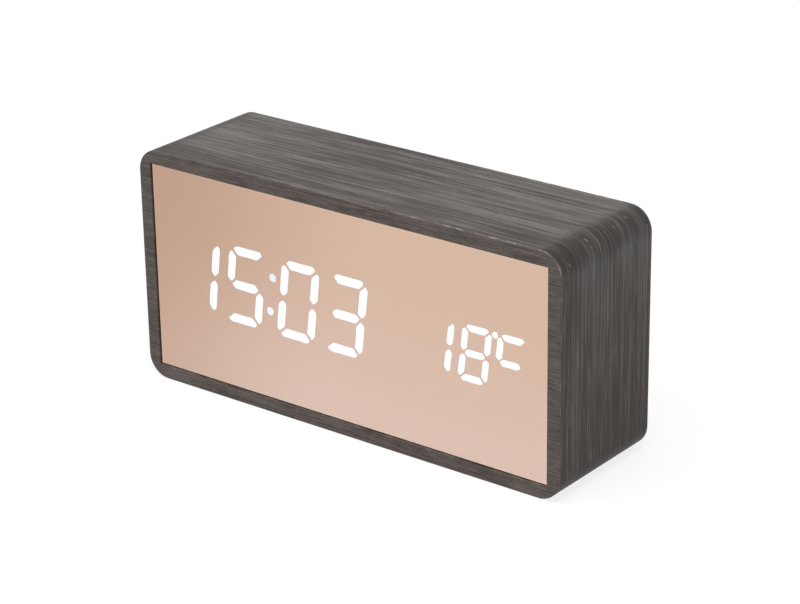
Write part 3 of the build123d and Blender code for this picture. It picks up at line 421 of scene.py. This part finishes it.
def fibreboard_finish():
    """Raw fibreboard, painted black round the display and in the rear recess."""
    finish = Finish("fibreboard")
    place = finish.object_place()
    _, y, _ = finish.axes(place)
    chips = finish.noise(place, 1800, detail=4.0, roughness=0.7)
    clouds = finish.noise(place, 90, detail=3.0)
    raw = finish.mix(chips * 0.6 + clouds * 0.4, (0.24, 0.15, 0.085), (0.52, 0.38, 0.24))
    rear_recess = finish.ease(y, 16.6 * MM, 17.2 * MM)
    round_display = 1 - finish.ease(y, -9.6 * MM, -9.0 * MM)
    black = finish.mix(chips, (0.012, 0.011, 0.011), (0.035, 0.032, 0.03))
    return finish.surface({
        "Base Color": finish.mix(rear_recess.larger(round_display), raw, black),
        "Roughness": 0.75 + chips * 0.2,
        "Normal": finish.bump(chips, strength=0.3, distance=0.1 * MM),
    })


def batten_finish():
    """Sawn softwood, with its rings along the depth of the case."""
    finish = Finish("batten_wood")
    x, y, z = finish.axes(finish.object_place())
    rings = finish.noise(finish.join(x * 700, y * 22, z * 700), 1.0, detail=3.0)
    fibres = finish.noise(finish.join(x * 3800, y * 110, z * 3800), 1.0)
    tone = finish.ease(rings * 0.7 + fibres * 0.3, 0.35, 0.65)
    return finish.surface({
        "Base Color": finish.mix(tone, (0.43, 0.28, 0.15), (0.70, 0.53, 0.34)),
        "Roughness": 0.65 + fibres * 0.2,
        "Normal": finish.bump(fibres, strength=0.3, distance=0.1 * MM),
    })


def mirror_coat_finish():
    """The half-silvered copper coat, with a painted reflection deeper to the left and top: it lets
    the digits through.
    """
    finish = Finish("copper_mirror")
    place = finish.object_place()
    x, _, z = finish.axes(place)
    waves = finish.noise(place, 26)
    sway = waves * (12 * MM)
    # Painted reflection: the copper darkens towards the top and the left.
    upper = finish.ease(z + sway, 8 * MM, 62 * MM)
    from_left = x + sway - (z - 36 * MM) * 0.45
    left = (1 - finish.ease(from_left, -78 * MM, 14 * MM)) * (0.80 + upper * 0.20)
    pale_tint, upper_painted_reflection, left_painted_reflection = (
        [part / MIRROR_COAT for part in copper]
        for copper in (PALE_COPPER, UPPER_PAINTED_REFLECTION, LEFT_PAINTED_REFLECTION))
    return finish.surface({
        "Base Color": finish.mix(left, finish.mix(upper, pale_tint, upper_painted_reflection), left_painted_reflection),
        "Metallic": 1.0,
        "Roughness": 0.02 + waves * 0.03,
        "Alpha": MIRROR_COAT,
        "Normal": finish.bump(waves, strength=0.05, distance=0.2 * MM),
    })


def mirror_acrylic_finish():
    """The clear sheet behind the coat, seen at its edges and from inside."""
    finish = Finish("mirror_acrylic")
    haze = finish.noise(finish.object_place(), 300, detail=3.0)
    return finish.surface({
        "Base Color": finish.mix(haze, (0.30, 0.20, 0.15), (0.42, 0.30, 0.24)),
        "Roughness": 0.08 + haze * 0.1,
        "Alpha": 0.05,
    })


# Plastics, resins and tape.


def moulded_plastic(name, dark, light, roughness, grain, relief):
    """Moulded plastic with a spark-eroded grain and the faint flow marks of the mould."""
    finish = Finish(name)
    place = finish.object_place()
    fine = finish.noise(place, grain, detail=3.0, roughness=0.6)
    pebbles = finish.noise(place, grain * 0.42)
    flow = finish.noise(place, 60, detail=3.0)
    tone = finish.ease(fine * 0.3 + pebbles * 0.4 + flow * 0.3, 0.37, 0.63)
    return finish.surface({
        "Base Color": finish.mix(tone, dark, light),
        "Roughness": roughness - 0.05 + flow * 0.22,
        "Normal": finish.bump(fine * 0.4 + pebbles * 0.6, strength=0.5, distance=relief),
    })


def key_finish(key):
    """A satin key whose sunk mark is filled with pale paint."""
    low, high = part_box(f"{key}_button")
    finish = Finish(f"{key}_key_plastic")
    place = finish.object_place()
    x, y, z = finish.axes(place)
    fine = finish.noise(place, 2600)
    from_middle = finish.join(x - (low.x + high.x) / 2, 0.0, z - (low.z + high.z) / 2)
    sunk = finish.ease(y, high.y - 0.34 * MM, high.y - 0.31 * MM)
    below_the_face = 1 - finish.ease(y, high.y - 0.12 * MM, high.y - 0.04 * MM)
    near_the_middle = 1 - finish.ease(finish.length(from_middle), 1.5 * MM, 1.7 * MM)
    mark = sunk * below_the_face * near_the_middle
    plastic = finish.mix(fine, (0.035, 0.035, 0.036), (0.062, 0.062, 0.064))
    return finish.surface({
        "Base Color": finish.mix(mark, plastic, (0.62, 0.62, 0.60)),
        "Roughness": 0.36 + fine * 0.12,
        "Normal": finish.bump(fine, strength=0.15, distance=0.03 * MM),
    })


def lit_resin_finish(name, deep, bright, strength):
    """Diffusing resin over a lit chip. It glows bluish, and the copper coat makes that white."""
    finish = Finish(name)
    cloud = finish.noise(finish.object_place(), 900)
    return finish.surface({
        "Base Color": finish.mix(cloud, (0.84, 0.88, 0.92), (0.94, 0.96, 0.98)),
        "Roughness": 0.45 + cloud * 0.1,
        "Emission Color": finish.mix(cloud, deep, bright),
        "Emission Strength": strength,
    })


def unlit_resin_finish():
    """The same resin where no chip is lit, painted near black for the shade of its well."""
    finish = Finish("unlit_resin")
    cloud = finish.noise(finish.object_place(), 900, detail=3.0)
    return finish.surface({
        "Base Color": finish.mix(cloud, (0.030, 0.030, 0.032), (0.055, 0.055, 0.058)),
        "Roughness": 0.5 + cloud * 0.15,
    })


def tape_finish():
    """Black foam tape with open cells."""
    finish = Finish("adhesive_tape")
    cells = finish.node("TexVoronoi", {}, {"Vector": finish.object_place(), "Scale": 2600.0})
    return finish.surface({
        "Base Color": finish.mix(cells, grey(0.014), grey(0.05)),
        "Roughness": 0.85,
        "Normal": finish.bump(cells, strength=0.5, distance=0.1 * MM),
    })


def ribbon_finish():
    """Grey ribbon cable: one ridge for each of its wires, with a coloured edge."""
    wires = 8
    low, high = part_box("ribbon_cable")
    finish = Finish("ribbon_sleeve")
    place = finish.object_place()
    _, _, z = finish.axes(place)
    pitch = (high.z - low.z) / wires
    ridge = abs(((z - low.z) * (math.pi / pitch)).sine())
    dust = finish.noise(place, 700, detail=3.0)
    sleeve = finish.mix(ridge * 0.7 + dust * 0.3, (0.30, 0.30, 0.31), (0.56, 0.56, 0.58))
    edge_wire = 1 - finish.ease(z, low.z + 0.9 * pitch, low.z + pitch)
    return finish.surface({
        "Base Color": finish.mix(edge_wire, sleeve, (0.45, 0.05, 0.04)),
        "Roughness": 0.5 + dust * 0.15,
        "Normal": finish.bump(ridge, strength=0.6, distance=0.3 * MM),
    })


# Metals.


def plated_metal(name, dark, light, roughness, grain):
    """Plated metal with fine scratches and a slightly uneven sheen."""
    finish = Finish(name)
    place = finish.object_place()
    cloud = finish.noise(place, 160, detail=3.0)
    scratches = finish.noise(place, grain, detail=4.0, roughness=0.7)
    return finish.surface({
        "Base Color": finish.mix(cloud * 0.6 + scratches * 0.4, dark, light),
        "Metallic": 1.0,
        "Roughness": roughness + scratches * 0.18,
        "Normal": finish.bump(scratches, strength=0.12, distance=0.05 * MM),
    })


def cell_finish(node, nub_to_the_right):
    """A dry cell: a lacquered sleeve with a band at the nub's end, and bare steel at both ends."""
    low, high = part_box(node)
    length = high.x - low.x
    finish = Finish(f"{node}_jacket")
    place = finish.object_place()
    x, _, _ = finish.axes(place)
    from_nub = high.x - x if nub_to_the_right else x - low.x

    def past(edge):
        return finish.ease(from_nub, edge, edge + 0.1 * MM)

    steel = (1 - past(1.5 * MM)).larger(past(length - 0.45 * MM))
    band = 1 - past(11.9 * MM)
    line = past(12.6 * MM) * (1 - past(13.3 * MM))
    dust = finish.noise(place, 900, detail=3.0)
    sleeve = finish.mix(dust, (0.50, 0.51, 0.53), (0.60, 0.61, 0.63))
    printed = finish.mix(band.larger(line), sleeve, (0.02, 0.13, 0.16))
    metal = finish.mix(dust, (0.58, 0.57, 0.54), (0.70, 0.69, 0.66))
    return finish.surface({
        "Base Color": finish.mix(steel, printed, metal),
        "Metallic": steel,
        "Roughness": 0.24 + dust * 0.12,
    })


# Boards and what is on them.


def board_finish():
    """Green solder mask over copper tracks."""
    finish = Finish("circuit_board")
    place = finish.object_place()
    settings = {"feature": "DISTANCE_TO_EDGE", "voronoi_dimensions": "3D"}
    cells = finish.node("TexVoronoi", settings, {"Vector": place, "Scale": 210.0})
    tracks = 1 - finish.ease(cells, 0.05, 0.09)
    cloud = finish.noise(place, 120, detail=3.0)
    mask = finish.mix(cloud, (0.012, 0.085, 0.035), (0.022, 0.13, 0.055))
    return finish.surface({
        "Base Color": finish.mix(tracks, mask, (0.06, 0.24, 0.10)),
        "Roughness": 0.28 + cloud * 0.15,
        "Coat Weight": 0.3,
        "Normal": finish.bump(tracks, strength=0.4, distance=0.05 * MM),
    })


def from_middle_height(finish, node):
    """How far a point lies above or below the middle of a piece, and half the piece's height."""
    low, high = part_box(node)
    _, _, z = finish.axes(finish.object_place())
    return abs(z - (low.z + high.z) / 2), (high.z - low.z) / 2


def chip_finish(node):
    """A black epoxy body between two rows of tinned leads."""
    lead_reach = 1.1 * MM
    finish = Finish(f"{node}_epoxy")
    from_middle, half = from_middle_height(finish, node)
    lead = finish.ease(from_middle, half - lead_reach, half - lead_reach + 0.02 * MM)
    grit = finish.noise(finish.object_place(), 3200, detail=3.0)
    epoxy = finish.mix(grit, (0.016, 0.016, 0.018), (0.045, 0.045, 0.048))
    return finish.surface({
        "Base Color": finish.mix(lead, epoxy, (0.66, 0.65, 0.62)),
        "Metallic": lead,
        "Roughness": 0.55 - lead * 0.25 + grit * 0.1,
        "Normal": finish.bump(grit, strength=0.3, distance=0.05 * MM),
    })


def resistor_finish():
    """Chip resistors: a black ceramic middle and tinned ends."""
    finish = Finish("ceramic")
    from_middle, half = from_middle_height(finish, "display_resistors")
    cap = finish.ease(from_middle, half - 0.42 * MM, half - 0.38 * MM)
    grit = finish.noise(finish.object_place(), 3000)
    body = finish.mix(grit, (0.012, 0.012, 0.013), (0.035, 0.035, 0.037))
    return finish.surface({
        "Base Color": finish.mix(cap, body, (0.68, 0.67, 0.65)),
        "Metallic": cap,
        "Roughness": 0.45 - cap * 0.15 + grit * 0.1,
    })


def lit_chip_finish():
    """Light-emitting chips: a yellow phosphor on a white body."""
    finish = Finish("led_chip")
    cloud = finish.noise(finish.object_place(), 1600)
    return finish.surface({
        "Base Color": finish.mix(cloud, (0.80, 0.66, 0.16), (0.90, 0.84, 0.52)),
        "Roughness": 0.35 + cloud * 0.1,
        "Emission Color": finish.mix(cloud, (0.90, 0.95, 1.0), (1.0, 1.0, 0.95)),
        "Emission Strength": 0.5,
    })


# Modelling.


def block(name, low, high):
    """A box between two corners, to be shaped."""
    bpy.ops.object.select_all(action="DESELECT")
    bpy.ops.mesh.primitive_cube_add(size=1)
    piece = bpy.context.object
    piece.name = name
    piece.location = (low + high) / 2
    piece.scale = high - low
    bpy.ops.object.transform_apply(location=True, rotation=True, scale=True)
    return piece


def choose(piece, kind, test):
    """Edit mode, with only the edges or the faces that pass a test selected."""
    bpy.context.view_layer.objects.active = piece
    bpy.ops.object.mode_set(mode="EDIT")
    bpy.ops.mesh.select_mode(type=kind)
    bpy.ops.mesh.select_all(action="DESELECT")
    mesh = bmesh.from_edit_mesh(piece.data)
    for part in mesh.edges if kind == "EDGE" else mesh.faces:
        if test(part):
            part.select_set(True)
    mesh.select_flush_mode()
    bmesh.update_edit_mesh(piece.data)


def apply_modifier(piece, kind, **settings):
    """Adds a modifier with these settings and applies it at once."""
    modifier = piece.modifiers.new(kind.lower(), kind)
    for name, setting in settings.items():
        setattr(modifier, name, setting)
    bpy.context.view_layer.objects.active = piece
    bpy.ops.object.modifier_apply(modifier=modifier.name)


def put_down(piece):
    """Back to object mode, with flat faces truly flat and round ones smooth."""
    bpy.ops.object.mode_set(mode="OBJECT")
    bpy.ops.object.select_all(action="DESELECT")
    piece.select_set(True)
    bpy.context.view_layer.objects.active = piece
    bpy.ops.object.shade_smooth_by_angle(angle=SMOOTH_BELOW)
    apply_modifier(piece, "WEIGHTED_NORMAL", keep_sharp=True)


def along_depth(edge):
    """True for an edge that runs from the front to the rear."""
    first, last = (corner.co for corner in edge.verts)
    return abs(first.x - last.x) < SAME_PLACE and abs(first.z - last.z) < SAME_PLACE


def at_depth(edge, y):
    """True for an edge that lies in the upright plane at y."""
    return all(abs(corner.co.y - y) < SAME_PLACE for corner in edge.verts)


def round_corners(piece):
    """Rounds the four long corners of a block to the case's radius."""
    choose(piece, "EDGE", along_depth)
    bpy.ops.mesh.bevel(
        offset=CORNER_RADIUS, segments=CORNER_SEGMENTS, affect="EDGES", clamp_overlap=False)


def round_the_case(x, z, half_width, middle):
    """How far round the case a point of its outline lies, from the middle of the underside."""
    flat_x = half_width - CORNER_RADIUS
    flat_z = middle - CORNER_RADIUS
    near_x = max(-flat_x, min(flat_x, x))
    near_z = max(-flat_z, min(flat_z, z - middle))
    turn = math.atan2(z - middle - near_z, x - near_x) + math.pi / 2
    if turn < -SAME_PLACE:
        turn += 2 * math.pi
    if turn < math.pi / 2:
        straight = near_x + near_z + flat_z
    elif turn < 3 * math.pi / 2 - SAME_PLACE:
        straight = 2 * flat_x + flat_z - near_x + near_z
    elif near_x > -flat_x:
        straight = 4 * flat_x + 3 * flat_z + near_x - near_z
    else:
        straight = 3 * flat_x + 3 * flat_z - near_z
    return CORNER_RADIUS * turn + straight


def map_round_the_case(piece, half_width, middle):
    """A map on the wrap, in metres: the first number goes round the case, the second along y."""
    total = 4 * (half_width + middle - 2 * CORNER_RADIUS) + 2 * math.pi * CORNER_RADIUS
    sheet = piece.data
    chart = sheet.uv_layers.new(name="round_the_case")
    sheet.uv_layers.active = chart
    for face in sheet.polygons:
        at_face = round_the_case(face.center.x, face.center.z, half_width, middle)
        for loop in face.loop_indices:
            corner = sheet.vertices[sheet.loops[loop].vertex_index].co
            at_corner = round_the_case(corner.x, corner.z, half_width, middle)
            at_corner += total * round((at_face - at_corner) / total)
            chart.data[loop].uv = (at_corner, corner.y)


def veneer_wrap():
    """The sheet of veneer bent round the case."""
    low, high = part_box("veneer_wrap")
    middle = (low.z + high.z) / 2
    wrap = block("veneer_sheet", low, high)
    round_corners(wrap)
    choose(wrap, "FACE", lambda face: abs(face.normal.y) > SQUARELY)
    bpy.ops.mesh.delete(type="FACE")
    bpy.ops.object.mode_set(mode="OBJECT")
    apply_modifier(wrap, "SOLIDIFY", thickness=VENEER, offset=-1, use_even_offset=True)
    put_down(wrap)
    for layer in list(wrap.data.uv_layers):
        wrap.data.uv_layers.remove(layer)
    map_round_the_case(wrap, high.x, middle)
    wrap.data.materials.append(wrap_finish(high.x, middle).material)
    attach(wrap, "clock_case")
    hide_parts("veneer_wrap")


def rim_veneer(node, finish):
    """The veneer frame on one rim: a rounded slab, cut out for the window, with its edges eased."""
    low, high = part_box(node)
    outer_y = low.y if low.y < 0 else high.y
    rim = block(f"{node}_sheet", low, high)
    round_corners(rim)
    bpy.ops.object.mode_set(mode="OBJECT")
    mirror_low, mirror_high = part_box("mirror_panel")
    reach = Vector((WINDOW_CLEARANCE, 0, WINDOW_CLEARANCE))
    depth = Vector((0, VENEER, 0))
    window_low = Vector((mirror_low.x, low.y, mirror_low.z)) - reach - depth
    window_high = Vector((mirror_high.x, high.y, mirror_high.z)) + reach + depth
    window = block("window", window_low, window_high)
    apply_modifier(rim, "BOOLEAN", operation="DIFFERENCE", object=window, solver="EXACT")
    bpy.data.objects.remove(window)

    def outer_edge(edge):
        return at_depth(edge, outer_y) and edge.calc_face_angle(0) > SHARP_EDGE

    choose(rim, "EDGE", outer_edge)
    bpy.ops.mesh.bevel(
        offset=RIM_EDGE, segments=RIM_EDGE_SEGMENTS, affect="EDGES", clamp_overlap=False)
    put_down(rim)
    rim.data.materials.append(finish.material)
    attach(rim, "clock_case")
    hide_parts(node)


def mirror_sheet():
    """The mirror: a clear sheet with a fine polished edge and the copper coat on its face."""
    low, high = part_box("mirror_panel")
    sheet = block("mirror_sheet", low, high)
    choose(sheet, "EDGE", lambda edge: at_depth(edge, low.y))
    bpy.ops.mesh.bevel(offset=MIRROR_EDGE, segments=MIRROR_EDGE_SEGMENTS, affect="EDGES")
    put_down(sheet)
    sheet.data.materials.append(mirror_coat_finish().material)
    sheet.data.materials.append(mirror_acrylic_finish().material)
    for face in sheet.data.polygons:
        face.material_index = 0 if face.normal.y < -SQUARELY else 1
    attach(sheet, "clock_case")
    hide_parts("mirror_panel")


# Finishes of the CAD pieces.


def dress(finish, *nodes):
    """Gives a finish to pieces that keep their CAD shape."""
    for node in nodes:
        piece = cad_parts[node]
        piece.data.materials.clear()
        piece.data.materials.append(finish.material)


def dress_the_case():
    dress(fibreboard_finish(), "case_core")
    dress(batten_finish(), "corner_battens")
    dress(tape_finish(), "mirror_tape")
    cover = moulded_plastic(
        "cover_plastic", (0.017, 0.017, 0.018), (0.044, 0.044, 0.046),
        roughness=0.46, grain=2200, relief=0.12 * MM)
    dress(cover, "rear_cover", "battery_door")
    for key in KEYS:
        dress(key_finish(key), f"{key}_button")
    screws = plated_metal(
        "black_screw", (0.030, 0.030, 0.032), (0.075, 0.075, 0.078), roughness=0.34, grain=2400)
    dress(screws, "cover_screws")


def dress_the_display():
    reflector = moulded_plastic(
        "reflector_plastic", (0.010, 0.010, 0.011), (0.022, 0.022, 0.024),
        roughness=0.6, grain=2600, relief=0.04 * MM)
    dress(reflector, "display_reflector")
    lit = lit_resin_finish("lit_resin", (0.45, 0.78, 1.0), (0.49, 0.81, 1.0), strength=9.0)
    dress(lit, "time_segments_lit", "temperature_segments_lit", "degree_dot")
    dots = lit_resin_finish("lit_resin_colon", (0.29, 0.71, 1.0), (0.33, 0.75, 1.0), strength=7.2)
    dress(dots, "colon_dots")
    dress(unlit_resin_finish(), "time_segments_unlit", "temperature_segments_unlit")
    dress(lit_chip_finish(), "segment_leds")
    dress(resistor_finish(), "display_resistors")
    dress(chip_finish("driver_chip"), "driver_chip")


def dress_the_battery_bay():
    for node, nub_to_the_right in (
            ("upper_cell", False), ("middle_cell", True), ("lower_cell", False)):
        dress(cell_finish(node, nub_to_the_right), node)
    contacts = plated_metal(
        "contact_steel", (0.60, 0.58, 0.54), (0.80, 0.78, 0.73), roughness=0.16, grain=1800)
    dress(contacts, "contact_plates", "battery_springs", "coin_cell", "coin_clip")
    red = moulded_plastic(
        "red_lead", (0.38, 0.018, 0.015), (0.52, 0.035, 0.028),
        roughness=0.42, grain=900, relief=0.03 * MM)
    dress(red, "battery_lead_positive")
    black = moulded_plastic(
        "black_lead", grey(0.012), grey(0.030), roughness=0.42, grain=900, relief=0.03 * MM)
    dress(black, "battery_lead_negative")


def dress_the_boards():
    dress(board_finish(), "display_board", "control_board")
    screws = plated_metal(
        "screw_steel", (0.42, 0.42, 0.43), (0.62, 0.62, 0.63), roughness=0.26, grain=2000)
    dress(screws, "display_screws", "reflector_screws", "control_board_screws")
    socket = plated_metal(
        "socket_steel", (0.55, 0.55, 0.56), (0.74, 0.74, 0.75), roughness=0.24, grain=1500)
    dress(socket, "usb_socket")
    capsule = plated_metal(
        "capsule_metal", (0.58, 0.58, 0.60), (0.78, 0.78, 0.80), roughness=0.30, grain=1600)
    dress(capsule, "microphone", "clock_crystal")
    can = plated_metal(
        "capacitor_can", (0.58, 0.58, 0.60), (0.76, 0.76, 0.78), roughness=0.32, grain=1200)
    dress(can, "capacitor")
    switch = moulded_plastic(
        "switch_plastic", (0.030, 0.030, 0.032), (0.070, 0.070, 0.075),
        roughness=0.5, grain=2400, relief=0.04 * MM)
    dress(switch, "usb_tongue", "coin_holder")
    for key in KEYS:
        dress(switch, f"{key}_switch_body", f"{key}_switch_plunger")
    sounder = moulded_plastic(
        "buzzer_plastic", grey(0.012), grey(0.030), roughness=0.28, grain=1800, relief=0.03 * MM)
    dress(sounder, "buzzer")
    bead = moulded_plastic(
        "sensor_bead", grey(0.015), grey(0.040), roughness=0.25, grain=1400, relief=0.03 * MM)
    dress(bead, "temperature_sensor")
    header = moulded_plastic(
        "header_plastic", (0.66, 0.62, 0.53), (0.80, 0.77, 0.69),
        roughness=0.42, grain=1600, relief=0.03 * MM)
    dress(header, "ribbon_header_front", "ribbon_header_rear")
    dress(ribbon_finish(), "ribbon_cable")
    dress(chip_finish("clock_chip"), "clock_chip")


bpy.context.scene.view_settings.view_transform = "Standard"
photo_camera()
studio_world()
studio_floor()
softbox("overhead", place=(0.05, -0.25, 0.95), size=0.9, power=13.4, in_gloss=True)
softbox("front_fill", place=(-0.75, -0.85, 0.45), size=0.8, power=1.2, in_gloss=False)
softbox("rear_fill", place=(-0.45, 1.0, 0.40), size=0.8, power=2.2, in_gloss=False)

veneer_wrap()
rims = rim_finish(cad_box[1].z)
rim_veneer("front_edge_veneer", rims)
rim_veneer("rear_edge_veneer", rims)
mirror_sheet()

dress_the_case()
dress_the_display()
dress_the_battery_bay()
dress_the_boards()
